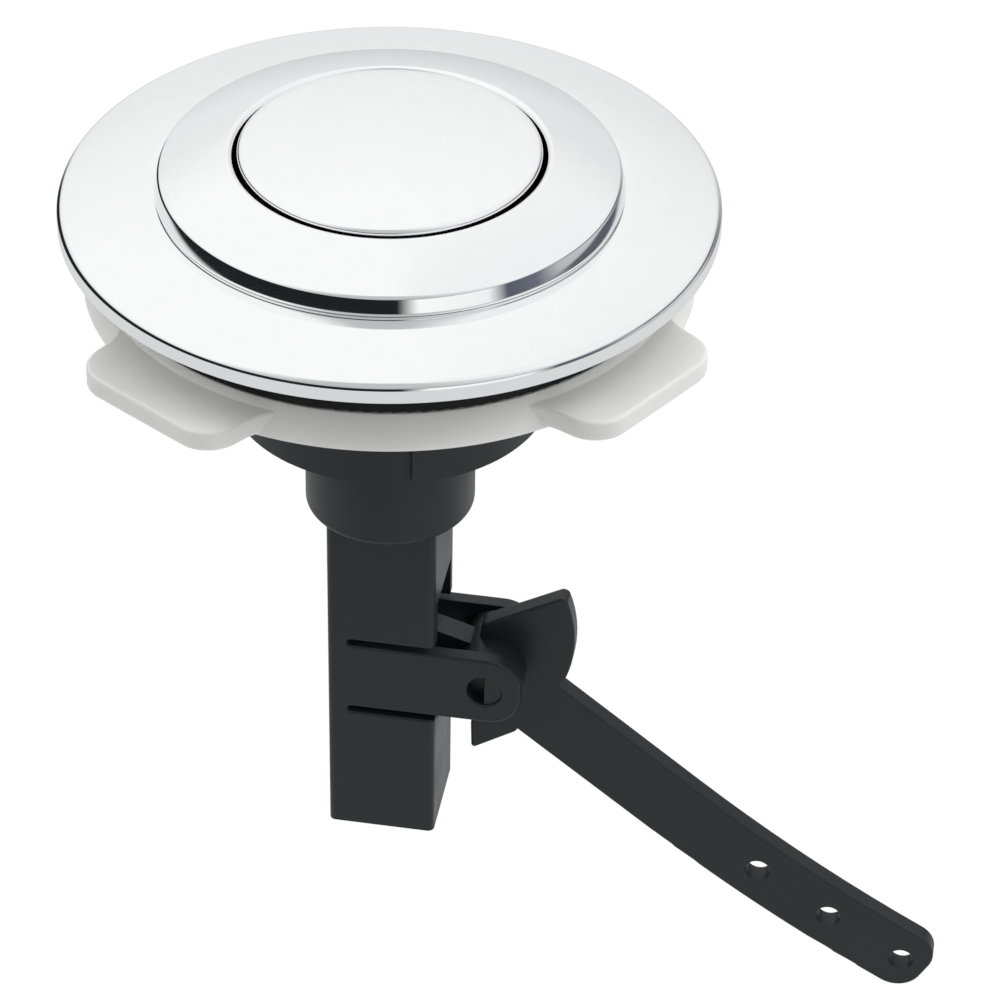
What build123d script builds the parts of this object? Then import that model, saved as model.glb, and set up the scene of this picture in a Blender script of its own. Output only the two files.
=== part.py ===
from build123d import *
import os
from math import asin, cos, degrees, radians, sin, tan

# Push button for the lid of a cistern, with a lever that lifts the flush valve's chain.
# Millimetres. +Z is up along the button's axis, z = 0 is the flange's underside, the lever points to +X.

os.makedirs("parts", exist_ok=True)

# Press and clearances
press_travel = 8.0
seat_play = 0.1
cap_play = 0.45
barrel_play = 0.5
rod_play = 0.3
nut_play = 0.35
stop_gap = 0.3

# Chromed top: flange, raised ring and button
flange_radius = 36.8
rim_height = 2.2
rim_round = 0.9
flange_rise = 1.1
flange_crown = 0.12
flange_wall = 1.7
flange_seat_width = 6.0
flange_hub_wall = 2.0
bezel_width = 8.3
bezel_flare = 0.6
bezel_height = 2.3
bezel_rise = 2.4
bezel_crown = 0.2
bezel_round = 0.6
bezel_foot_round = 0.45
bezel_wall = 1.6
bezel_lip = 1.4
bezel_margin = 0.8
cap_overhang = 0.5
cap_proud = 0.25
cap_crown = 0.5
crown_share = 0.75
cap_plate = 1.7
cap_rim = 2.4
cap_wall = 1.5
cap_round = 0.6

# Barrel and collar
barrel_radius = 18.4
barrel_wall = 1.6
thread_depth = 0.8
thread_start = 4.6
barrel_length = 24.2
barrel_round = 0.5
head_thickness = 1.5
ledge_depth = 8.0
ledge_width = 1.4
ledge_thickness = 1.6
floor_thickness = 1.8
key_angle = 287.0
key_width = 0.9
key_depth = 0.6
collar_radius = 9.9
collar_length = 15.5
collar_round = 0.8

# Gasket and wing nut
gasket_radius = 32.6
gasket_thickness = 4.4
gasket_round = 0.4
nut_gap = 0.2
nut_radius = 34.3
nut_flare = 2.0
nut_height = 3.4
nut_wall = 2.2
nut_plate = 1.8
nut_hub_wall = 2.4
nut_hub_length = 9.1
nut_rib_count = 8
nut_rib_width = 1.4
nut_rib_depth = 1.1
wing_count = 4
wing_angle = 58.3
wing_reach = 5.1
wing_tip_width = 20.2
wing_taper = 5.0
wing_thickness = 2.5
wing_corner = 4.2
wing_root_round = 6.0
wing_edge_round = 0.4

# Plunger and return spring
plunger_disc = 2.0
boss_wall = 1.3
boss_length = 14.2
rod_grip = 9.0
leg_count = 4
leg_angle = 45.0
leg_width = 5.0
leg_thickness = 1.6
leg_play = 0.8
hook_reach = 0.9
hook_height = 2.5
spring_wire = 1.2
spring_room = 0.8
spring_turns = 8

# Guide post and its ears
post_width = 13.0
post_depth = 12.6
post_wall = 1.8
post_corner = 0.8
post_length = 46.0
post_head_radius = 10.2
post_head_thickness = 1.8
ear_half = 4.65
ear_end = 4.3
ear_corner = 3.9
ear_round = 0.3
slot_width = 0.9
slot_inset = 2.4
window_above = 11.2
window_below = 6.7
pivot_out = 6.0
pivot_drop = 22.85
pivot_hole_radius = 2.1
pivot_play = 0.05
trunnion_inset = 0.3
trunnion_lip = 0.3

# Lever, with outline points measured from its pivot
plate_thickness = 2.4
plate_round = 0.3
hub_radius = 4.2
hub_gap = 0.25
finger_length = 11.0
finger_width = 3.2
finger_root_height = 5.0
finger_tip_height = 3.5
nose_radius = 2.0
rod_gap = 0.25
rod_land = 0.35
arm_angle = -38.7
arm_width = 9.0
arm_offset = -0.85
arm_straight = 30.0
arm_length = 68.9
arm_bend_radius = 224.0
arm_corner = 3.4
chain_hole_radius = 1.55
chain_hole_pitch = 11.0
chain_hole_inset = 3.4
chain_hole_count = 3
fan_heel = (-1.3, 6.0)
fan_tip = (8.7, 11.6)
fan_bulge = (10.0, 5.6)
fan_foot = (9.1, -0.6)
toe_top = (-2.4, -9.6)
toe_tip = (-2.3, -13.5)
toe_back = (3.1, -10.0)
heel_round = 1.4
fan_tip_round = 0.8
toe_round = 0.4

# Heights and radii that follow from these
seat_z = rim_height + flange_rise
head_top = seat_z + head_thickness
barrel_bore = barrel_radius - barrel_wall
skirt_radius = barrel_bore - cap_play
cap_radius = skirt_radius + cap_overhang
bezel_bore = cap_radius + cap_play
bezel_top_radius = bezel_bore + bezel_width
bezel_foot_radius = bezel_top_radius + bezel_flare
bezel_edge_z = seat_z + bezel_height
bezel_inner_z = bezel_edge_z + bezel_rise
bezel_pocket_radius = bezel_top_radius - bezel_wall
cap_edge_z = bezel_inner_z + cap_proud
cap_under = cap_edge_z - cap_plate
cap_step = cap_edge_z - cap_rim
cap_bottom = press_travel + 2 * stop_gap - ledge_depth
neck_bore = cap_radius + barrel_play
neck_radius = barrel_radius + thread_depth
shelf_z = cap_step - press_travel - stop_gap
floor_z = floor_thickness - barrel_length
collar_bottom = -barrel_length - collar_length
nut_top = -gasket_thickness - nut_gap
nut_bottom = nut_top - nut_height
nut_top_radius = nut_radius - nut_flare
nut_bore = neck_radius + nut_play
nut_hub_radius = nut_bore + nut_hub_wall
plunger_under = cap_under - plunger_disc
boss_bottom = plunger_under - boss_length
post_head_top = floor_z + post_head_thickness
post_bottom = collar_bottom - post_length
channel_width = post_width - 2 * post_wall
channel_depth = post_depth - 2 * post_wall
rod_width = channel_width - 2 * rod_play
rod_depth = channel_depth - 2 * rod_play
boss_radius = Vector(rod_width / 2, rod_depth / 2).length + seat_play + boss_wall
pivot_x = post_width / 2 + pivot_out
pivot_z = collar_bottom - pivot_drop
swing_half = asin(press_travel / 2 / finger_length)
rod_bottom = pivot_z + finger_length * sin(swing_half) + nose_radius + rod_gap
rod_top = boss_bottom + rod_grip


def middle(start, end, rise):
    """Point halfway between two points, moved up by rise."""
    return ((start[0] + end[0]) / 2, (start[1] + end[1]) / 2 + rise)


# Flange: a shallow dome with a plain rim, hollow underneath between its seat ring and its hub
with BuildPart() as flange_plate:
    hole_radius = neck_radius + seat_play
    dome_inner = (bezel_foot_radius + bezel_margin, seat_z)
    dome_outer = (flange_radius, rim_height)
    pocket_top = rim_height - flange_wall + flange_rise
    with BuildSketch(Plane.XZ) as flange_section:
        with BuildLine():
            ThreePointArc(dome_outer, middle(dome_outer, dome_inner, flange_crown), dome_inner)
            Polyline(
                dome_inner,
                (hole_radius, seat_z),
                (hole_radius, 0),
                (hole_radius + flange_hub_wall, 0),
                (hole_radius + flange_hub_wall, pocket_top),
                (flange_radius - flange_seat_width, pocket_top),
                (flange_radius - flange_seat_width, 0),
                (flange_radius, 0),
                dome_outer,
            )
        make_face()
        rim_corners = flange_section.vertices().group_by(Axis.X)[-1]
        fillet(rim_corners.sort_by(Axis.Y)[-1], rim_round)
    revolve(axis=Axis.Z)
flange_plate.part.label = "flange_plate"
export_step(flange_plate.part, "parts/flange_plate.step")

# Raised ring: a hollow dished ring that snaps over the barrel's head
with BuildPart() as bezel_ring:
    ring_edge = (bezel_top_radius, bezel_edge_z)
    ring_inner = (bezel_bore, bezel_inner_z)
    with BuildSketch(Plane.XZ) as bezel_section:
        with BuildLine():
            ThreePointArc(ring_edge, middle(ring_edge, ring_inner, bezel_crown), ring_inner)
            Polyline(
                ring_inner,
                (bezel_bore, head_top),
                (bezel_bore + bezel_lip, head_top),
                (bezel_bore + bezel_lip, head_top + seat_play),
                (bezel_pocket_radius, head_top + seat_play),
                (bezel_pocket_radius, seat_z),
                (bezel_foot_radius, seat_z),
                ring_edge,
            )
        make_face()
        bezel_corners = bezel_section.vertices()
        fillet(
            [bezel_corners.sort_by_distance(ring_edge)[0], bezel_corners.sort_by_distance(ring_inner)[0]],
            bezel_round,
        )
        fillet(bezel_corners.sort_by_distance((bezel_foot_radius, seat_z))[0], bezel_foot_round)
    revolve(axis=Axis.Z)
bezel_ring.part.label = "bezel_ring"
export_step(bezel_ring.part, "parts/bezel_ring.step")

# Button: a crowned cap with a narrower skirt that runs down into the barrel
with BuildPart() as button_cap:
    cap_edge = (cap_radius, cap_edge_z)
    with BuildSketch(Plane.XZ) as cap_section:
        with BuildLine():
            cap_middle = (cap_radius / 2, cap_edge_z + crown_share * cap_crown)
            ThreePointArc((0, cap_edge_z + cap_crown), cap_middle, cap_edge)
            Polyline(
                cap_edge,
                (cap_radius, cap_step),
                (skirt_radius, cap_step),
                (skirt_radius, cap_bottom),
                (skirt_radius - cap_wall, cap_bottom),
                (skirt_radius - cap_wall, cap_under),
                (0, cap_under),
                (0, cap_edge_z + cap_crown),
            )
        make_face()
        fillet(cap_section.vertices().sort_by_distance(cap_edge)[0], cap_round)
    revolve(axis=Axis.Z)
button_cap.part.label = "button_cap"
export_step(button_cap.part, "parts/button_cap.step")

# Barrel: head, neck, plain core of the thread and collar, with a shelf that stops the cap and a ledge
# for the snap legs inside, and two key slots in the end of the thread
with BuildPart() as barrel_body:
    ledge_radius = barrel_bore - ledge_width
    with BuildSketch(Plane.XZ) as barrel_section:
        with BuildLine():
            Polyline(
                (0, collar_bottom),
                (0, floor_z),
                (barrel_bore, floor_z),
                (barrel_bore, -ledge_depth - ledge_thickness),
                (ledge_radius, -ledge_depth - ledge_thickness),
                (ledge_radius, -ledge_depth),
                (barrel_bore, -ledge_depth),
                (barrel_bore, shelf_z),
                (neck_bore, shelf_z),
                (neck_bore, head_top),
                (bezel_pocket_radius - seat_play, head_top),
                (bezel_pocket_radius - seat_play, seat_z),
                (neck_radius, seat_z),
                (neck_radius, -thread_start),
                (barrel_radius, -thread_start),
                (barrel_radius, -barrel_length),
                (collar_radius, -barrel_length),
                (collar_radius, collar_bottom),
                close=True,
            )
        make_face()
        barrel_corners = barrel_section.vertices()
        fillet(barrel_corners.sort_by_distance((collar_radius, collar_bottom))[0], collar_round)
        fillet(barrel_corners.sort_by_distance((barrel_radius, -barrel_length))[0], barrel_round)
        fillet(barrel_corners.sort_by_distance((collar_radius, -barrel_length))[0], barrel_round)
    revolve(axis=Axis.Z)
    with BuildSketch(Plane.XY.offset(floor_z)):
        Rectangle(post_width + 2 * seat_play, post_depth + 2 * seat_play)
    extrude(amount=collar_bottom - floor_z, mode=Mode.SUBTRACT)
    with BuildSketch(Plane.XY.offset(-thread_start)):
        with PolarLocations(barrel_radius, 2, key_angle):
            Rectangle(2 * key_depth, key_width)
    extrude(amount=thread_start - barrel_length, mode=Mode.SUBTRACT)
barrel_body.part.label = "barrel_body"
export_step(barrel_body.part, "parts/barrel_body.step")

# Gasket: a flat washer under the flange
with BuildPart() as flange_gasket:
    with BuildSketch() as gasket_ring:
        Circle(gasket_radius)
        Circle(neck_radius + barrel_play, mode=Mode.SUBTRACT)
    extrude(amount=-gasket_thickness)
    fillet(flange_gasket.edges().filter_by(GeomType.CIRCLE).sort_by(SortBy.RADIUS)[-2:], gasket_round)
flange_gasket.part.label = "flange_gasket"
export_step(flange_gasket.part, "parts/flange_gasket.step")

# Wings of the nut: flat tabs with rounded corners and swept roots
with BuildPart() as nut_wings:
    wing_end = nut_radius + wing_reach
    with BuildSketch(Plane.XY.offset(nut_bottom)) as wing_outline:
        Circle(nut_top_radius)
        with PolarLocations(0, wing_count, wing_angle):
            half_tip = wing_tip_width / 2
            half_root = half_tip + wing_end * tan(radians(wing_taper))
            Polygon((0, -half_root), (wing_end, -half_tip), (wing_end, half_tip), (0, half_root), align=None)
        tab_middle = nut_radius + wing_reach / 2
        tab_corners = wing_outline.vertices().filter_by(lambda v: Vector(v).length > tab_middle)
        fillet(tab_corners, wing_corner)
        tab_roots = wing_outline.vertices().filter_by(lambda v: Vector(v).length < nut_top_radius + seat_play)
        fillet(tab_roots, wing_root_round)
        Circle(nut_radius - nut_wall, mode=Mode.SUBTRACT)
    extrude(amount=wing_thickness)
    inner_limit = wing_end - wing_corner
    tab_edges = nut_wings.edges().filter_by(lambda e: Vector(e.center().X, e.center().Y).length > inner_limit)
    tab_levels = tab_edges.group_by(Axis.Z)
    fillet(tab_levels[0] + tab_levels[-1], wing_edge_round)

# Wing nut: a threaded hub, a clamping face, a ribbed flaring skirt and the wings
with BuildPart() as wing_nut:
    with BuildSketch(Plane.XZ):
        with BuildLine():
            Polyline(
                (nut_bore, nut_top),
                (nut_top_radius, nut_top),
                (nut_radius, nut_bottom),
                (nut_radius - nut_wall, nut_bottom),
                (nut_top_radius - nut_wall, nut_top - nut_plate),
                (nut_hub_radius, nut_top - nut_plate),
                (nut_hub_radius, nut_top - nut_hub_length),
                (nut_bore, nut_top - nut_hub_length),
                close=True,
            )
        make_face()
    revolve(axis=Axis.Z)
    with BuildSketch(Plane.XY.offset(nut_top - nut_plate)):
        rib_start = nut_hub_radius - nut_hub_wall / 2
        rib_length = nut_top_radius - nut_wall / 2 - rib_start
        with PolarLocations(rib_start + rib_length / 2, nut_rib_count, wing_angle / 2):
            Rectangle(rib_length, nut_rib_width)
    extrude(amount=-nut_rib_depth)
    add(nut_wings.part)
wing_nut.part.label = "wing_nut"
export_step(wing_nut.part, "parts/wing_nut.step")

# Plunger: a disc under the cap, a boss that grips the rod and snap legs that hook under the ledge
with BuildPart() as plunger:
    leg_radius = ledge_radius - leg_play
    hook_top = -ledge_depth - ledge_thickness - stop_gap
    with BuildSketch(Plane.XY.offset(plunger_under)):
        Circle(skirt_radius - cap_wall - seat_play)
    extrude(amount=plunger_disc)
    with BuildSketch(Plane.XY.offset(plunger_under)):
        Circle(boss_radius)
    extrude(amount=-boss_length)
    with BuildSketch(Plane.XY.offset(boss_bottom)):
        Rectangle(rod_width + seat_play, rod_depth + seat_play)
    extrude(amount=rod_grip, mode=Mode.SUBTRACT)
    for leg in range(leg_count):
        leg_plane = Plane.XZ.rotated((0, 0, leg_angle + leg * 360 / leg_count))
        with BuildSketch(leg_plane):
            with BuildLine():
                Polyline(
                    (leg_radius, plunger_under),
                    (leg_radius, hook_top),
                    (ledge_radius + hook_reach, hook_top),
                    (leg_radius, hook_top - hook_height),
                    (leg_radius - leg_thickness, hook_top - hook_height),
                    (leg_radius - leg_thickness, plunger_under),
                    close=True,
                )
            make_face()
        extrude(amount=leg_width / 2, both=True)
plunger.part.label = "plunger"
export_step(plunger.part, "parts/plunger.step")

# Return spring: a plain coil between the post's head and the plunger
with BuildPart() as return_spring:
    coil_radius = boss_radius + spring_room + spring_wire / 2
    coil_bottom = post_head_top + spring_wire / 2 + seat_play
    coil_top = plunger_under - spring_wire / 2 - seat_play
    with BuildLine():
        coil = Helix(
            (coil_top - coil_bottom) / spring_turns,
            coil_top - coil_bottom,
            coil_radius,
            center=(0, 0, coil_bottom),
        )
    with BuildSketch(Plane(origin=coil @ 0, z_dir=coil % 0)):
        Circle(spring_wire / 2)
    sweep(path=coil, is_frenet=True)
return_spring.part.label = "return_spring"
export_step(return_spring.part, "parts/return_spring.step")

# Guide post: a square tube with a head, a window for the lever and sprung ears cut out of two walls
with BuildPart() as guide_post:
    with BuildSketch(Plane.XY.offset(post_bottom)):
        RectangleRounded(post_width, post_depth, post_corner)
    extrude(amount=floor_z - post_bottom)
    with BuildSketch(Plane.XY.offset(floor_z)):
        Circle(post_head_radius)
    extrude(amount=post_head_thickness)
    for side in (-1, 1):
        ear_origin = (pivot_x, side * post_depth / 2, pivot_z)
        ear_face = Plane(origin=ear_origin, x_dir=(1, 0, 0), z_dir=(0, side, 0))
        with BuildSketch(ear_face) as ear_outline:
            ear_start = slot_inset - post_width / 2 - pivot_x
            with Locations(((ear_start + ear_end) / 2, 0)):
                Rectangle(ear_end - ear_start, 2 * ear_half)
            fillet(ear_outline.vertices().sort_by(Axis.X)[-2:], ear_corner)
        extrude(amount=-post_wall)
    with BuildSketch(Plane.XY.offset(post_bottom)):
        Rectangle(channel_width, channel_depth)
    extrude(amount=post_head_top - post_bottom, mode=Mode.SUBTRACT)
    pivot_plane = Plane(origin=(pivot_x, 0, pivot_z), x_dir=(1, 0, 0), z_dir=(0, -1, 0))
    with BuildSketch(pivot_plane):
        Circle(pivot_hole_radius)
        slot_start = slot_inset + slot_width / 2 - post_width / 2 - pivot_x
        slot_end = post_width / 2 - pivot_x
        slot_height = ear_half + slot_width / 2
        for level in (-slot_height, slot_height):
            with Locations(((slot_start + slot_end) / 2, level)):
                Rectangle(slot_end - slot_start, slot_width)
            with Locations((slot_start, level)):
                Circle(slot_width / 2)
    extrude(amount=post_depth, both=True, mode=Mode.SUBTRACT)
    with BuildSketch(Plane(origin=(post_width / 2, 0, pivot_z), x_dir=(0, 1, 0), z_dir=(1, 0, 0))):
        with Locations((0, (window_above - window_below) / 2)):
            Rectangle(channel_depth, window_above + window_below)
    extrude(amount=-post_wall, mode=Mode.SUBTRACT)
    ear_edges = guide_post.edges().filter_by(lambda e: abs(abs(e.center().Y) - post_depth / 2) < seat_play)
    fillet(ear_edges.filter_by(lambda e: e.bounding_box().max.X > pivot_x + ear_end - ear_corner), ear_round)
guide_post.part.label = "guide_post"
export_step(guide_post.part, "parts/guide_post.step")

# Push rod: a square rod with its foot relieved on the lever's side
with BuildPart() as push_rod:
    nose_x = pivot_x - finger_length * cos(swing_half)
    foot_relief = rod_width / 2 - nose_x - rod_land
    with BuildSketch(Plane.XY.offset(rod_bottom)):
        Rectangle(rod_width, rod_depth)
    extrude(amount=rod_top - rod_bottom)
    foot_edges = push_rod.edges().filter_by(Axis.Y).group_by(Axis.Z)[0]
    chamfer(foot_edges.sort_by(Axis.X)[-1], foot_relief)
push_rod.part.label = "push_rod"
export_step(push_rod.part, "parts/push_rod.step")

# Lever: a flat plate with arm, fan and toe, a hub with snap trunnions and a finger under the rod
with BuildPart() as lever:
    half_arm = arm_width / 2
    bend = degrees((arm_length - arm_straight) / arm_bend_radius)
    bend_centre = (arm_straight, arm_offset + arm_bend_radius)
    arm_plane = pivot_plane.rotated((0, -arm_angle, 0))
    with BuildSketch(arm_plane) as arm_face:
        with BuildLine():
            upper = CenterArc(bend_centre, arm_bend_radius - half_arm, -90, bend)
            lower = CenterArc(bend_centre, arm_bend_radius + half_arm, -90, bend)
            Line(upper @ 1, lower @ 1)
            Polyline(lower @ 0, (0, arm_offset - half_arm), (0, arm_offset + half_arm), upper @ 0)
        make_face()
        fillet(arm_face.vertices().sort_by(Axis.X)[-2:], arm_corner)
    with BuildSketch(pivot_plane) as fan_face:
        with BuildLine():
            ThreePointArc(fan_tip, fan_bulge, fan_foot)
            Polyline(fan_foot, toe_back, toe_tip, toe_top, fan_heel, fan_tip)
        make_face()
        for corner, radius in ((fan_heel, heel_round), (fan_tip, fan_tip_round), (toe_tip, toe_round)):
            fillet(fan_face.vertices().sort_by_distance(corner)[0], radius)
    extrude(amount=plate_thickness / 2, both=True)
    fillet(lever.faces().filter_by(Axis.Y).edges(), plate_round)
    with BuildSketch(arm_plane):
        for hole in range(chain_hole_count):
            turn = (arm_length - chain_hole_inset - hole * chain_hole_pitch - arm_straight) / arm_bend_radius
            hole_x = arm_straight + arm_bend_radius * sin(turn)
            hole_y = arm_offset + arm_bend_radius * (1 - cos(turn))
            with Locations((hole_x, hole_y)):
                Circle(chain_hole_radius)
    extrude(amount=plate_thickness, both=True, mode=Mode.SUBTRACT)
    ear_inside = post_depth / 2 - post_wall
    trunnion_radius = pivot_hole_radius - pivot_play
    trunnion_end = post_depth / 2 - trunnion_inset
    with BuildSketch(pivot_plane):
        Circle(hub_radius)
    extrude(amount=ear_inside - hub_gap, both=True)
    with BuildSketch(pivot_plane):
        Circle(trunnion_radius)
    extrude(amount=trunnion_end, both=True)
    with BuildSketch(Plane.XY.offset(pivot_z)):
        for side in (-1, 1):
            Polygon(
                (pivot_x, side * trunnion_end),
                (pivot_x - pivot_hole_radius, side * trunnion_end),
                (pivot_x - pivot_hole_radius, side * ear_inside),
                (pivot_x - trunnion_lip, side * ear_inside),
                align=None,
            )
    extrude(amount=pivot_hole_radius, both=True, mode=Mode.SUBTRACT)
    finger_plane = pivot_plane.rotated((0, degrees(swing_half), 0))
    with BuildSketch(finger_plane):
        Polygon(
            (0, -finger_root_height / 2),
            (0, finger_root_height / 2),
            (-finger_length, finger_tip_height / 2),
            (-finger_length, -finger_tip_height / 2),
            align=None,
        )
        with Locations((-finger_length, 0)):
            Circle(nose_radius)
    extrude(amount=finger_width / 2, both=True)
lever.part.label = "lever"
export_step(lever.part, "parts/lever.step")
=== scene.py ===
"""Looks of a push button for a cistern lid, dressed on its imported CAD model.

Metres, in the CAD frame: +Z up along the button's axis, z = 0 at the flange's underside, lever to +X.
"""

import math

import bmesh
import bpy
import numpy as np
from mathutils import Matrix, Vector


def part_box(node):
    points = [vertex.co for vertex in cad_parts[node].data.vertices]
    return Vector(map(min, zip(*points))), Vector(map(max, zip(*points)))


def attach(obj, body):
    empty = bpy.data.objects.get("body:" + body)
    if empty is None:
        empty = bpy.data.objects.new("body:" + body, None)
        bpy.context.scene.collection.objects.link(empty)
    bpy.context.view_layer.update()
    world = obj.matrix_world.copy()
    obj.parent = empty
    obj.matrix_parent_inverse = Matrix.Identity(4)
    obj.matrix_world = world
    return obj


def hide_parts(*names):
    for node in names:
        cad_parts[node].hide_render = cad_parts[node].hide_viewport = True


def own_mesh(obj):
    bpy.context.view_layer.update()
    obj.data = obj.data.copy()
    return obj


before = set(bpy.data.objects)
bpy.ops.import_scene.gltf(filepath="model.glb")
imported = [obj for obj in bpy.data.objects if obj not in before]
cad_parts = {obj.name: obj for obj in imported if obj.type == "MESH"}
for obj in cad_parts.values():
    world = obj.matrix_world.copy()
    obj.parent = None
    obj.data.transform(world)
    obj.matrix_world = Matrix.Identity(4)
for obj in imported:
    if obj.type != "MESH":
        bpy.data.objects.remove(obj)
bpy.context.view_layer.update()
MM = 0.001


# Colours and nodes


def linear(hex_colour):
    """sRGB hex to linear RGBA."""
    srgb = np.array([int(hex_colour[i : i + 2], 16) for i in (1, 3, 5)]) / 255
    rgb = np.where(srgb <= 0.04045, srgb / 12.92, ((srgb + 0.055) / 1.055) ** 2.4)
    return (*rgb.tolist(), 1.0)


def faded(hex_colour):
    """sRGB hex to linear RGBA with no cover, for a stop that lets through what lies behind."""
    return (*linear(hex_colour)[:3], 0.0)


def per_mm(size):
    """Texture scale, in repeats per metre, of a pattern that repeats every size millimetres."""
    return 1 / (size * MM)


def add_node(tree, kind, values=None, links=None, **settings):
    """Add a node with its settings, its socket values and its incoming links."""
    node = tree.nodes.new(kind)
    for name, value in settings.items():
        setattr(node, name, value)
    for socket, value in (values or {}).items():
        node.inputs[socket].default_value = value
    for socket, (source, output) in (links or {}).items():
        tree.links.new(source.outputs[output], node.inputs[socket])
    return node


def set_ramp(node, stops):
    """Give a colour ramp its stops, as pairs of position and linear colour."""
    elements = node.color_ramp.elements
    while len(elements) > 1:
        elements.remove(elements[-1])
    elements[0].position, elements[0].color = stops[0]
    for position, colour in stops[1:]:
        elements.new(position).color = colour


def new_material(name):
    """An empty material, its node tree and its Object coordinates."""
    material = bpy.data.materials.new(name)
    material.use_nodes = True
    tree = material.node_tree
    tree.nodes.clear()
    return material, tree, add_node(tree, "ShaderNodeTexCoord")


# Materials


def bright_chrome():
    """Bright chrome plated on moulded ABS: a mirror with a faint orange peel and a haze of wiping marks."""
    material, tree, place = new_material("bright_chrome_on_abs")
    peel = add_node(
        tree, "ShaderNodeTexNoise", {"Scale": per_mm(7), "Detail": 1.0}, {"Vector": (place, "Object")}
    )
    wiping = add_node(
        tree,
        "ShaderNodeTexNoise",
        {"Scale": per_mm(2.5), "Detail": 4.0, "Roughness": 0.65},
        {"Vector": (place, "Object")},
    )
    haze = add_node(
        tree,
        "ShaderNodeMapRange",
        {"From Min": 0.35, "From Max": 0.75, "To Min": 0.035, "To Max": 0.075},
        {"Value": (wiping, "Fac")},
    )
    tint = add_node(tree, "ShaderNodeValToRGB", links={"Fac": (wiping, "Fac")})
    set_ramp(tint, [(0.3, linear("#F7F8F8")), (0.7, linear("#FAFAFA"))])
    bump = add_node(
        tree, "ShaderNodeBump", {"Strength": 0.012, "Distance": 0.1 * MM}, {"Height": (peel, "Fac")}
    )
    shader = add_node(
        tree,
        "ShaderNodeBsdfPrincipled",
        {"Metallic": 1.0},
        {"Base Color": (tint, "Color"), "Roughness": (haze, "Result"), "Normal": (bump, "Normal")},
    )
    add_node(tree, "ShaderNodeOutputMaterial", links={"Surface": (shader, "BSDF")})
    return material


def black_acetal():
    """Black moulded acetal: a satin skin with fine spark grain, a little lighter along its flow marks."""
    material, tree, place = new_material("black_moulded_acetal")
    grain = add_node(
        tree,
        "ShaderNodeTexNoise",
        {"Scale": per_mm(0.5), "Detail": 3.0, "Roughness": 0.6},
        {"Vector": (place, "Object")},
    )
    flow = add_node(
        tree, "ShaderNodeTexNoise", {"Scale": per_mm(9), "Detail": 2.0}, {"Vector": (place, "Object")}
    )
    colour = add_node(tree, "ShaderNodeValToRGB", links={"Fac": (flow, "Fac")})
    set_ramp(colour, [(0.3, linear("#1C1D21")), (0.7, linear("#222427"))])
    gloss = add_node(
        tree,
        "ShaderNodeMapRange",
        {"From Min": 0.3, "From Max": 0.7, "To Min": 0.36, "To Max": 0.48},
        {"Value": (flow, "Fac")},
    )
    bump = add_node(
        tree, "ShaderNodeBump", {"Strength": 0.12, "Distance": 0.05 * MM}, {"Height": (grain, "Fac")}
    )
    shader = add_node(
        tree,
        "ShaderNodeBsdfPrincipled",
        {"IOR": 1.48, "Specular IOR Level": 0.42},
        {"Base Color": (colour, "Color"), "Roughness": (gloss, "Result"), "Normal": (bump, "Normal")},
    )
    add_node(tree, "ShaderNodeOutputMaterial", links={"Surface": (shader, "BSDF")})
    return material


def natural_polypropylene():
    """Natural polypropylene: a cloudy milky white that light sinks into, moulded to a soft sheen."""
    material, tree, place = new_material("natural_polypropylene")
    cloud = add_node(
        tree, "ShaderNodeTexNoise", {"Scale": per_mm(14), "Detail": 2.0}, {"Vector": (place, "Object")}
    )
    grain = add_node(
        tree, "ShaderNodeTexNoise", {"Scale": per_mm(0.6), "Detail": 2.0}, {"Vector": (place, "Object")}
    )
    colour = add_node(tree, "ShaderNodeValToRGB", links={"Fac": (cloud, "Fac")})
    set_ramp(colour, [(0.3, linear("#E4E4E1")), (0.7, linear("#EAEAE6"))])
    gloss = add_node(
        tree,
        "ShaderNodeMapRange",
        {"From Min": 0.3, "From Max": 0.7, "To Min": 0.38, "To Max": 0.5},
        {"Value": (cloud, "Fac")},
    )
    bump = add_node(
        tree, "ShaderNodeBump", {"Strength": 0.06, "Distance": 0.05 * MM}, {"Height": (grain, "Fac")}
    )
    shader = add_node(
        tree,
        "ShaderNodeBsdfPrincipled",
        {
            "IOR": 1.49,
            "Subsurface Weight": 0.3,
            "Subsurface Radius": (3.2 * MM, 3.0 * MM, 2.7 * MM),
            "Subsurface Scale": 1.0,
        },
        {"Base Color": (colour, "Color"), "Roughness": (gloss, "Result"), "Normal": (bump, "Normal")},
    )
    add_node(tree, "ShaderNodeOutputMaterial", links={"Surface": (shader, "BSDF")})
    return material


def gasket_rubber():
    """Black sheet rubber, die cut: dull, with a dusty bloom."""
    material, tree, place = new_material("black_sheet_rubber")
    bloom = add_node(
        tree, "ShaderNodeTexNoise", {"Scale": per_mm(3), "Detail": 4.0}, {"Vector": (place, "Object")}
    )
    colour = add_node(tree, "ShaderNodeValToRGB", links={"Fac": (bloom, "Fac")})
    set_ramp(colour, [(0.3, linear("#121213")), (0.75, linear("#1B1B1C"))])
    bump = add_node(
        tree, "ShaderNodeBump", {"Strength": 0.15, "Distance": 0.06 * MM}, {"Height": (bloom, "Fac")}
    )
    shader = add_node(
        tree,
        "ShaderNodeBsdfPrincipled",
        {"Roughness": 0.8, "IOR": 1.52, "Specular IOR Level": 0.3},
        {"Base Color": (colour, "Color"), "Normal": (bump, "Normal")},
    )
    add_node(tree, "ShaderNodeOutputMaterial", links={"Surface": (shader, "BSDF")})
    return material


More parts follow.
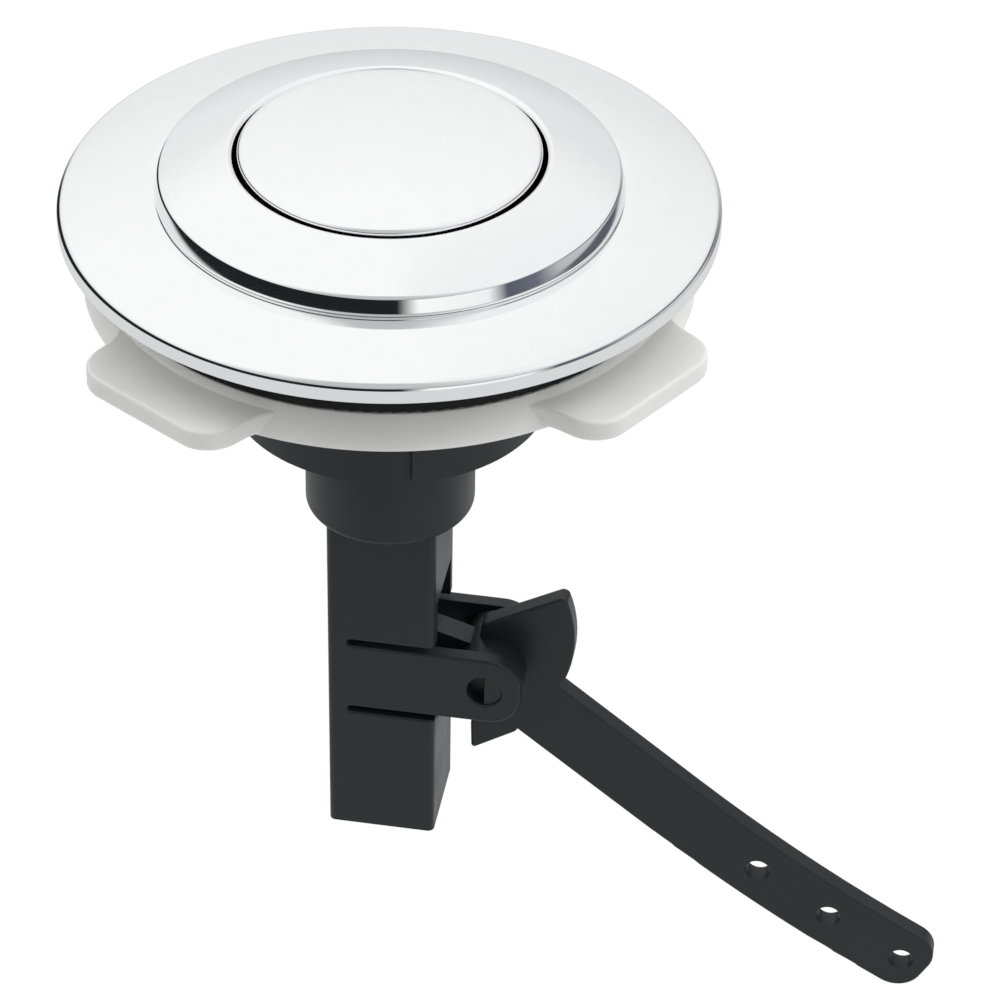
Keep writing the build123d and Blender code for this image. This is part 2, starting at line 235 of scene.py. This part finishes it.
def white_acetal():
    """White acetal: a smooth slippery moulding, faintly cream, with soft flow marks."""
    material, tree, place = new_material("white_moulded_acetal")
    flow = add_node(
        tree, "ShaderNodeTexNoise", {"Scale": per_mm(6), "Detail": 3.0}, {"Vector": (place, "Object")}
    )
    colour = add_node(tree, "ShaderNodeValToRGB", links={"Fac": (flow, "Fac")})
    set_ramp(colour, [(0.3, linear("#DAD9D3")), (0.7, linear("#E4E3DE"))])
    gloss = add_node(
        tree,
        "ShaderNodeMapRange",
        {"From Min": 0.3, "From Max": 0.7, "To Min": 0.28, "To Max": 0.38},
        {"Value": (flow, "Fac")},
    )
    shader = add_node(
        tree,
        "ShaderNodeBsdfPrincipled",
        {"IOR": 1.48},
        {"Base Color": (colour, "Color"), "Roughness": (gloss, "Result")},
    )
    add_node(tree, "ShaderNodeOutputMaterial", links={"Surface": (shader, "BSDF")})
    return material


def spring_wire_steel():
    """Drawn stainless spring wire: bright grey, finely mottled by the die, with darker oil traces."""
    material, tree, place = new_material("drawn_spring_steel")
    mottle = add_node(
        tree, "ShaderNodeTexNoise", {"Scale": per_mm(0.4), "Detail": 3.0}, {"Vector": (place, "Object")}
    )
    colour = add_node(tree, "ShaderNodeValToRGB", links={"Fac": (mottle, "Fac")})
    set_ramp(colour, [(0.3, linear("#A9ABAD")), (0.7, linear("#C3C5C7"))])
    gloss = add_node(
        tree,
        "ShaderNodeMapRange",
        {"From Min": 0.3, "From Max": 0.7, "To Min": 0.2, "To Max": 0.36},
        {"Value": (mottle, "Fac")},
    )
    shader = add_node(
        tree,
        "ShaderNodeBsdfPrincipled",
        {"Metallic": 1.0},
        {"Base Color": (colour, "Color"), "Roughness": (gloss, "Result")},
    )
    add_node(tree, "ShaderNodeOutputMaterial", links={"Surface": (shader, "BSDF")})
    return material


CHROME = bright_chrome()
BLACK = black_acetal()
NATURAL = natural_polypropylene()
RUBBER = gasket_rubber()
WHITE = white_acetal()
STEEL = spring_wire_steel()

FINISHES = {
    "barrel_body": BLACK,
    "guide_post": BLACK,
    "lever": BLACK,
    "wing_nut": NATURAL,
    "flange_gasket": RUBBER,
    "plunger": WHITE,
    "push_rod": WHITE,
}
for node_name, finish in FINISHES.items():
    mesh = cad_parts[node_name].data
    mesh.materials.clear()
    mesh.materials.append(finish)


# New pieces


def grid_piece(name, points, material, wrap_u=False, wrap_v=False):
    """A mesh from an array of points indexed [u, v, xyz], with quads between neighbours."""
    rows, columns = points.shape[:2]
    number = np.arange(rows * columns).reshape(rows, columns)
    u = np.arange(rows if wrap_u else rows - 1)
    v = np.arange(columns if wrap_v else columns - 1)
    here = number[np.ix_(u, v)]
    right = number[np.ix_((u + 1) % rows, v)]
    across = number[np.ix_((u + 1) % rows, (v + 1) % columns)]
    up = number[np.ix_(u, (v + 1) % columns)]
    faces = np.stack([here, right, across, up], axis=-1).reshape(-1, 4)
    mesh = bpy.data.meshes.new(name)
    mesh.from_pydata(points.reshape(-1, 3).tolist(), [], faces.tolist())
    mesh.materials.append(material)
    mesh.shade_smooth()
    mesh.update()
    piece = bpy.data.objects.new(name, mesh)
    bpy.context.scene.collection.objects.link(piece)
    return piece


THREAD_PITCH = 3.0
THREAD_FOOT = 0.3


def thread_points(root, crest, top, bottom, slots=()):
    """Ridge of a screw thread, as turns u by points v of its closed section, in metres.

    The section is a flat-topped wedge from the root radius to the crest radius, on a foot that stands a
    little way into the wall. It climbs one pitch a turn from bottom to top, fades into the root at both
    ends, and drops under the floor of each slot, given by its angle and half width in radians and its
    depth in millimetres. Both ends shrink to a point.
    """
    turns = (top - bottom) / THREAD_PITCH
    angle = np.linspace(0, 2 * np.pi * turns, int(120 * turns))
    # Half widths from the middle of a slot at which the ridge is under its floor, at its root and full
    sunk, rooted, full = 1.0, 1.05, 1.4
    for slot_angle, half_width, _ in slots:
        edges = np.array([-full, -rooted, -sunk, sunk, rooted, full]) * half_width
        cuts = slot_angle + 2 * np.pi * np.arange(math.ceil(turns))[:, None] + edges[None, :]
        angle = np.union1d(angle, cuts[(cuts > 0) & (cuts < angle[-1])])
    fade_angle = 0.6
    run_in = np.clip(np.minimum(angle, angle[-1] - angle) / fade_angle, 0, 1)
    drop = np.zeros(angle.size)
    for slot_angle, half_width, depth in slots:
        away = np.abs((angle - slot_angle + np.pi) % (2 * np.pi) - np.pi) / half_width
        run_in = np.minimum(run_in, np.clip((away - rooted) / (full - rooted), 0, 1))
        drop = np.maximum(drop, depth * np.clip((rooted - away) / (rooted - sunk), 0, 1))
    into_wall = math.copysign(1.0, root - crest)
    wedge_z = np.array([-0.36, -0.36, -0.16, -0.12, 0.12, 0.16, 0.36, 0.36]) * THREAD_PITCH
    wedge_r = np.array([0.0, 0.0, 0.9, 1.0, 1.0, 0.9, 0.0, 0.0])
    foot = np.array([1.0, 0.0, 0.0, 0.0, 0.0, 0.0, 0.0, 1.0]) * THREAD_FOOT
    radius = root + (crest - root) * wedge_r[None, :] * run_in[:, None]
    radius = radius + into_wall * (foot[None, :] + drop[:, None])
    height = bottom + angle[:, None] * THREAD_PITCH / (2 * np.pi) + wedge_z[None, :]
    x = radius * np.cos(angle)[:, None]
    y = radius * np.sin(angle)[:, None]
    points = np.stack([x, y, height], axis=-1)
    ends = points[[0, -1]].mean(axis=1, keepdims=True) + np.zeros((1, foot.size, 1))
    return np.concatenate([ends[:1], points, ends[1:]]) * MM


def arc_through(start, middle, end, count):
    """Points of the circle through three points of a section, from start to end.

    The centre is where the two perpendicular bisectors meet; the points are evenly spread in angle round it.
    """
    start, middle, end = (np.array(point, dtype=float) for point in (start, middle, end))
    sides = 2 * np.array([middle - start, end - start])
    squares = np.array([middle @ middle - start @ start, end @ end - start @ start])
    centre = np.linalg.solve(sides, squares)
    first, last = (math.atan2(*(point - centre)[::-1]) for point in (start, end))
    angle = np.linspace(first, last, count)
    return centre + np.linalg.norm(start - centre) * np.stack([np.cos(angle), np.sin(angle)], axis=-1)


def crowned(outer, inner, rise, count=40):
    """Arc from an outer to an inner point of a section, crowned by rise halfway between them."""
    middle = ((outer[0] + inner[0]) / 2, (outer[1] + inner[1]) / 2 + rise)
    return arc_through(outer, middle, inner, count)


def rounded_corner(before, corner, after, radius, count=10):
    """Points that round a corner of a section: a circle of the given radius touching both of its sides."""
    before, corner, after = (np.array(point, dtype=float) for point in (before, corner, after))
    back = (before - corner) / np.linalg.norm(before - corner)
    ahead = (after - corner) / np.linalg.norm(after - corner)
    half = math.acos(np.clip(back @ ahead, -1, 1)) / 2
    middle = (back + ahead) / np.linalg.norm(back + ahead)
    centre = corner + middle * radius / math.sin(half)
    share = np.linspace(-1, 1, count)[:, None] * (math.pi / 2 - half)
    side = np.array([-middle[1], middle[0]])
    side = side if side @ ahead > 0 else -side
    return centre + radius * (side * np.sin(share) - middle * np.cos(share))


def wound_wire(radius, wire, bottom, top, turns, closed_turns=1.0):
    """Wire of a coil spring, as steps u along the wire by points v round it, in metres.

    The wire's centre climbs a helix, slowly in the closed turns at each end and evenly between them.
    Each ring of points is a circle in the plane through the axis, and both ends shrink to a point.
    """
    turn = np.linspace(0, turns, int(72 * turns))
    turn = np.concatenate([turn[:1], turn, turn[-1:]])
    girth = np.full(turn.size, wire / 2)
    girth[[0, -1]] = 0
    closed_pitch = 1.08 * wire
    open_turns = turns - 2 * closed_turns
    open_pitch = (top - bottom - 2 * closed_turns * closed_pitch) / open_turns
    slow = np.minimum(turn, closed_turns) + np.clip(turn - closed_turns - open_turns, 0, None)
    climb = bottom + slow * closed_pitch + np.clip(turn - closed_turns, 0, open_turns) * open_pitch
    around = np.linspace(0, 2 * np.pi, 16, endpoint=False)[None, :]
    reach = radius + girth[:, None] * np.cos(around)
    height = climb[:, None] + girth[:, None] * np.sin(around)
    angle = 2 * np.pi * turn[:, None]
    return np.stack([reach * np.cos(angle), reach * np.sin(angle), height], axis=-1) * MM


def close_up(piece, crease=25):
    """Merge points that coincide, turn the faces outwards and keep edges over crease degrees crisp."""
    closed = bmesh.new()
    closed.from_mesh(piece.data)
    bmesh.ops.remove_doubles(closed, verts=closed.verts, dist=0.001 * MM)
    bmesh.ops.recalc_face_normals(closed, faces=closed.faces)
    closed.to_mesh(piece.data)
    closed.free()
    piece.data.set_sharp_from_angle(angle=math.radians(crease))
    return piece


def turned_piece(name, section, material, spokes=256):
    """A closed section, as radius and height in millimetres, turned round the Z axis."""
    section = np.asarray(section) * MM
    spoke = np.linspace(0, 2 * np.pi, spokes, endpoint=False)[:, None]
    radius, height = section[None, :, 0], section[None, :, 1]
    points = np.stack([radius * np.cos(spoke), radius * np.sin(spoke), height + 0 * spoke], axis=-1)
    return close_up(grid_piece(name, points, material, wrap_u=True, wrap_v=True))


# Chromed pieces: the CAD pieces' sections, in millimetres, turned finely so that the mirror has no facets
HUB_BORE, HUB_RADIUS, SEAT_RADIUS, FLANGE_RADIUS = 19.3, 21.3, 30.8, 36.8
FLANGE_HOLLOW, FLANGE_TOP = 1.6, 3.3
RIM_EDGE, RIM_ROUND = (FLANGE_RADIUS, 2.2), 0.9
DOME_FOOT, DOME_RISE = (27.0, FLANGE_TOP), 0.12
dome = crowned(RIM_EDGE, DOME_FOOT, DOME_RISE)
flange_section = np.concatenate(
    [
        rounded_corner((FLANGE_RADIUS, 0.0), RIM_EDGE, dome[6], RIM_ROUND, 16),
        dome[6:],
        [
            (HUB_BORE, FLANGE_TOP),
            (HUB_BORE, 0.0),
            (HUB_RADIUS, 0.0),
            (HUB_RADIUS, FLANGE_HOLLOW),
            (SEAT_RADIUS, FLANGE_HOLLOW),
            (SEAT_RADIUS, 0.0),
            (FLANGE_RADIUS, 0.0),
        ],
    ]
)
flange_turned = turned_piece("flange_turned", flange_section, CHROME)
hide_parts("flange_plate")
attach(flange_turned, "housing")

RING_BORE, LIP_RADIUS, POCKET_RADIUS = 17.3, 18.7, 24.0
LIP_UNDER, POCKET_TOP = 4.8, 4.9
RING_FOOT, RING_EDGE, RING_INNER = (26.2, FLANGE_TOP), (25.6, 5.6), (RING_BORE, 8.0)
FOOT_ROUND, EDGE_ROUND, DISH_RISE = 0.45, 0.6, 0.2
dish = crowned(RING_EDGE, RING_INNER, DISH_RISE)
ring_section = np.concatenate(
    [
        rounded_corner((POCKET_RADIUS, FLANGE_TOP), RING_FOOT, RING_EDGE, FOOT_ROUND),
        rounded_corner(RING_FOOT, RING_EDGE, dish[4], EDGE_ROUND),
        dish[4:-4],
        rounded_corner(dish[-4], RING_INNER, (RING_BORE, LIP_UNDER), EDGE_ROUND),
        [
            (RING_BORE, LIP_UNDER),
            (LIP_RADIUS, LIP_UNDER),
            (LIP_RADIUS, POCKET_TOP),
            (POCKET_RADIUS, POCKET_TOP),
            (POCKET_RADIUS, FLANGE_TOP),
        ],
    ]
)
ring_turned = turned_piece("bezel_turned", ring_section, CHROME)
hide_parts("bezel_ring")
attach(ring_turned, "housing")

SKIRT_BORE, SKIRT_RADIUS, CAP_RADIUS = 14.85, 16.35, 16.85
SKIRT_END, CAP_LIP, CAP_UNDER, CAP_TOP = 0.6, 5.85, 6.55, 8.75
CAP_EDGE, CROWN_MIDDLE = (CAP_RADIUS, 8.25), (CAP_RADIUS / 2, 8.625)
crown = arc_through((0.0, CAP_TOP), CROWN_MIDDLE, CAP_EDGE, 40)
cap_section = np.concatenate(
    [
        crown[:-3],
        rounded_corner(crown[-3], CAP_EDGE, (CAP_RADIUS, CAP_LIP), EDGE_ROUND),
        [
            (CAP_RADIUS, CAP_LIP),
            (SKIRT_RADIUS, CAP_LIP),
            (SKIRT_RADIUS, SKIRT_END),
            (SKIRT_BORE, SKIRT_END),
            (SKIRT_BORE, CAP_UNDER),
            (0.0, CAP_UNDER),
        ],
    ]
)
cap_turned = turned_piece("button_turned", cap_section, CHROME)
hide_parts("button_cap")
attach(cap_turned, "button")

# Screw threads: the ridge on the barrel, cut by its two key slots, and the ridge in the nut
KEY_HALF_WIDTH, KEY_DROP = 0.026, 0.75
KEY_SLOTS = [(math.radians(angle), KEY_HALF_WIDTH, KEY_DROP) for angle in (287, 107)]
barrel_ridge = thread_points(root=18.36, crest=19.14, top=-5.6, bottom=-18.6, slots=KEY_SLOTS)
barrel_thread = close_up(grid_piece("barrel_thread", barrel_ridge, BLACK, wrap_v=True))
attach(barrel_thread, "housing")
nut_ridge = thread_points(root=19.58, crest=19.28, top=-6.0, bottom=-12.4)
nut_thread = close_up(grid_piece("nut_thread", nut_ridge, NATURAL, wrap_v=True))
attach(nut_thread, "nut")

# Return spring: wound in the room of the CAD coil
SPRING_WIRE, SPRING_TURNS, PRESS_TRAVEL = 1.2, 8, 8.0
spring_low, spring_high = (np.array(corner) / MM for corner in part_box("return_spring"))
spring_points = wound_wire(
    radius=spring_high[0] - SPRING_WIRE / 2,
    wire=SPRING_WIRE,
    bottom=spring_low[2] + SPRING_WIRE / 2,
    top=spring_high[2] - SPRING_WIRE / 2,
    turns=SPRING_TURNS,
)
spring_coil = close_up(grid_piece("spring_coil", spring_points, STEEL, wrap_v=True))
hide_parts("return_spring")
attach(spring_coil, "housing")
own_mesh(spring_coil)


# Stage


def round_floor(radius, height, rings=24, spokes=96):
    """A disc of rings u by spokes v, flat at the given height, in metres."""
    ring = np.linspace(0.0, 1.0, rings)[:, None]
    spoke = np.linspace(0, 2 * np.pi, spokes, endpoint=False)[None, :]
    level = np.full((rings, spokes), height)
    return np.stack([radius * ring * np.cos(spoke), radius * ring * np.sin(spoke), level], axis=-1)


def pale_floor():
    """Matt white paper that keeps a soft shadow, and shows white to the camera and pale grey in mirrors."""
    material, tree, _ = new_material("white_paper_floor")
    path = add_node(tree, "ShaderNodeLightPath")
    seen = add_node(
        tree,
        "ShaderNodeMath",
        links={0: (path, "Is Camera Ray"), 1: (path, "Is Glossy Ray")},
        operation="MAXIMUM",
    )
    seen = add_node(
        tree, "ShaderNodeMath", links={0: (seen, 0), 1: (path, "Is Transmission Ray")}, operation="MAXIMUM"
    )
    share = add_node(tree, "ShaderNodeMath", {1: 0.85}, {0: (seen, 0)}, operation="MULTIPLY")
    paper = add_node(tree, "ShaderNodeBsdfDiffuse", {"Color": linear("#F4F4F3")})
    tone = add_node(
        tree,
        "ShaderNodeMix",
        {"A": linear("#FFFFFF"), "B": linear("#D2D3D4")},
        {"Factor": (path, "Is Glossy Ray")},
        data_type="RGBA",
    )
    glow = add_node(tree, "ShaderNodeEmission", {"Strength": 1.0}, {"Color": (tone, "Result")})
    mix = add_node(
        tree, "ShaderNodeMixShader", links={"Fac": (share, 0), 1: (paper, "BSDF"), 2: (glow, "Emission")}
    )
    add_node(tree, "ShaderNodeOutputMaterial", links={"Surface": (mix, "Shader")})
    return material


floor = grid_piece("paper_floor", round_floor(radius=0.42, height=-0.17), pale_floor(), wrap_v=True)


def studio_world():
    """A white studio that grows paler as it rises.

    Dark walls on the left and front, a grey screen on the right and a skirting round their foot draw
    the edges of the chrome.
    """
    world = bpy.data.worlds.new("white_studio")
    world.use_nodes = True
    tree = world.node_tree
    tree.nodes.clear()
    place = add_node(tree, "ShaderNodeTexCoord")
    axes = add_node(tree, "ShaderNodeSeparateXYZ", links={"Vector": (place, "Generated")})
    turn = add_node(tree, "ShaderNodeMath", links={0: (axes, "Y"), 1: (axes, "X")}, operation="ARCTAN2")
    turn = add_node(
        tree,
        "ShaderNodeMapRange",
        {"From Min": -math.pi, "From Max": math.pi, "To Min": 0.0, "To Max": 1.0},
        {"Value": (turn, 0)},
    )
    dark = linear("#202124")
    # Stops run from azimuth -180 to 180 degrees: front is -90, right is 0, back is 90
    skirting = add_node(tree, "ShaderNodeValToRGB", links={"Fac": (turn, "Result")})
    set_ramp(
        skirting,
        [
            (0.0, dark),
            (0.29, dark),
            (0.315, linear("#FFFFFF")),
            (0.405, linear("#F4F4F5")),
            (0.43, linear("#565B68")),
            (0.475, linear("#6A6F7A")),
            (0.51, linear("#B9BBBE")),
            (0.60, linear("#CDCED0")),
            (0.66, faded("#CDCED0")),
            (0.84, faded("#202124")),
            (0.87, dark),
        ],
    )
    walls = add_node(tree, "ShaderNodeValToRGB", links={"Fac": (turn, "Result")})
    set_ramp(
        walls,
        [
            (0.0, dark),
            (0.28, dark),
            (0.31, linear("#7C7E83")),
            (0.48, linear("#7C7E83")),
            (0.55, faded("#7C7E83")),
            (0.84, faded("#202124")),
            (0.87, dark),
        ],
    )
    screen = add_node(tree, "ShaderNodeValToRGB", links={"Fac": (turn, "Result")})
    set_ramp(
        screen,
        [
            (0.48, faded("#5C6068")),
            (0.53, linear("#5C6068")),
            (0.64, linear("#5C6068")),
            (0.71, faded("#5C6068")),
        ],
    )
    sides = add_node(tree, "ShaderNodeValToRGB", links={"Fac": (turn, "Result")})
    set_ramp(
        sides,
        [
            (0.0, linear("#FFFFFF")),
            (0.1, linear("#FFFFFF")),
            (0.2, linear("#C4C5C7")),
            (0.32, linear("#C4C5C7")),
            (0.45, linear("#F8F8F9")),
            (0.66, linear("#F4F5F6")),
            (0.74, linear("#F8F9F9")),
            (0.78, linear("#FFFFFF")),
        ],
    )
    height = add_node(
        tree,
        "ShaderNodeMapRange",
        {"From Min": -1.0, "From Max": 1.0, "To Min": 0.0, "To Max": 1.0},
        {"Value": (axes, "Z")},
    )
    # Stops run with the sine of the elevation, from straight down at 0 to straight up at 1
    rise = add_node(tree, "ShaderNodeValToRGB", links={"Fac": (height, "Result")})
    set_ramp(
        rise,
        [
            (0.28, linear("#FFFFFF")),
            (0.30, linear("#C4C6C9")),
            (0.545, linear("#E3E4E6")),
            (0.605, linear("#EBECED")),
            (0.69, linear("#EFF0F0")),
            (0.75, linear("#F9F9F9")),
            (0.80, linear("#FFFFFF")),
        ],
    )
    sky = add_node(
        tree,
        "ShaderNodeMix",
        {"Factor": 1.0},
        {"A": (rise, "Color"), "B": (sides, "Color")},
        data_type="RGBA",
        blend_type="MULTIPLY",
    )
    # Each strip stands in front of the last, from the same foot up to a top edge of its own
    black, white = linear("#000000"), linear("#FFFFFF")
    studio = sky
    for strip, full_to, gone_at in ((walls, 0.575, 0.615), (screen, 0.64, 0.67), (skirting, 0.545, 0.57)):
        reach = add_node(tree, "ShaderNodeValToRGB", links={"Fac": (height, "Result")})
        set_ramp(reach, [(0.285, black), (0.305, white), (full_to, white), (gone_at, black)])
        share = add_node(
            tree, "ShaderNodeMath", links={0: (strip, "Alpha"), 1: (reach, "Color")}, operation="MULTIPLY"
        )
        studio = add_node(
            tree,
            "ShaderNodeMix",
            links={"Factor": (share, 0), "A": (studio, "Result"), "B": (strip, "Color")},
            data_type="RGBA",
        )
    path = add_node(tree, "ShaderNodeLightPath")
    seen = add_node(
        tree,
        "ShaderNodeMix",
        {"B": linear("#FFFFFF")},
        {"Factor": (path, "Is Camera Ray"), "A": (studio, "Result")},
        data_type="RGBA",
    )
    light = add_node(tree, "ShaderNodeBackground", {"Strength": 1.0}, {"Color": (seen, "Result")})
    add_node(tree, "ShaderNodeOutputWorld", links={"Surface": (light, "Background")})
    bpy.context.scene.world = world


studio_world()


def softbox(name, place, target, size, power):
    """A square area lamp at place, aimed at target, in metres and watts, with no glare on the chrome."""
    lamp = bpy.data.lights.new(name, "AREA")
    lamp.size = size
    lamp.energy = power
    box = bpy.data.objects.new(name, lamp)
    box.location = place
    box.rotation_euler = (Vector(target) - Vector(place)).to_track_quat("-Z", "Y").to_euler()
    box.visible_glossy = False
    bpy.context.scene.collection.objects.link(box)


LAMP_TARGET, LAMP_SIZE = (0.0, 0.0, -0.03), 0.45
softbox("right_softbox", (0.45, 0.1, 0.46), LAMP_TARGET, LAMP_SIZE, power=2.0)
softbox("left_softbox", (-0.55, 0.05, 0.34), LAMP_TARGET, LAMP_SIZE, power=1.3)

# Camera: the photograph's view, fitted to the flange, ring and lever
CAMERA_PLACE = Vector((0.06944, -0.36133, 0.23791))
CAMERA_TARGET = Vector((0.01299, 0.0, -0.03848))
CAMERA_ROLL = math.radians(1.14)
CAMERA_LENS, SENSOR_WIDTH = 141.687, 36.0
camera_data = bpy.data.cameras.new("photo_camera")
camera_data.sensor_width = SENSOR_WIDTH
camera_data.lens = CAMERA_LENS
camera = bpy.data.objects.new("photo_camera", camera_data)
back = (CAMERA_PLACE - CAMERA_TARGET).normalized()
right = Vector((0, 0, 1)).cross(back).normalized()
up = back.cross(right)
rolled_right = right * math.cos(CAMERA_ROLL) + up * math.sin(CAMERA_ROLL)
rolled_up = up * math.cos(CAMERA_ROLL) - right * math.sin(CAMERA_ROLL)
turned = Matrix((rolled_right, rolled_up, back)).transposed().to_4x4()
camera.matrix_world = Matrix.Translation(CAMERA_PLACE) @ turned
bpy.context.scene.collection.objects.link(camera)
bpy.context.scene.camera = camera
bpy.context.scene.view_settings.view_transform = "Standard"
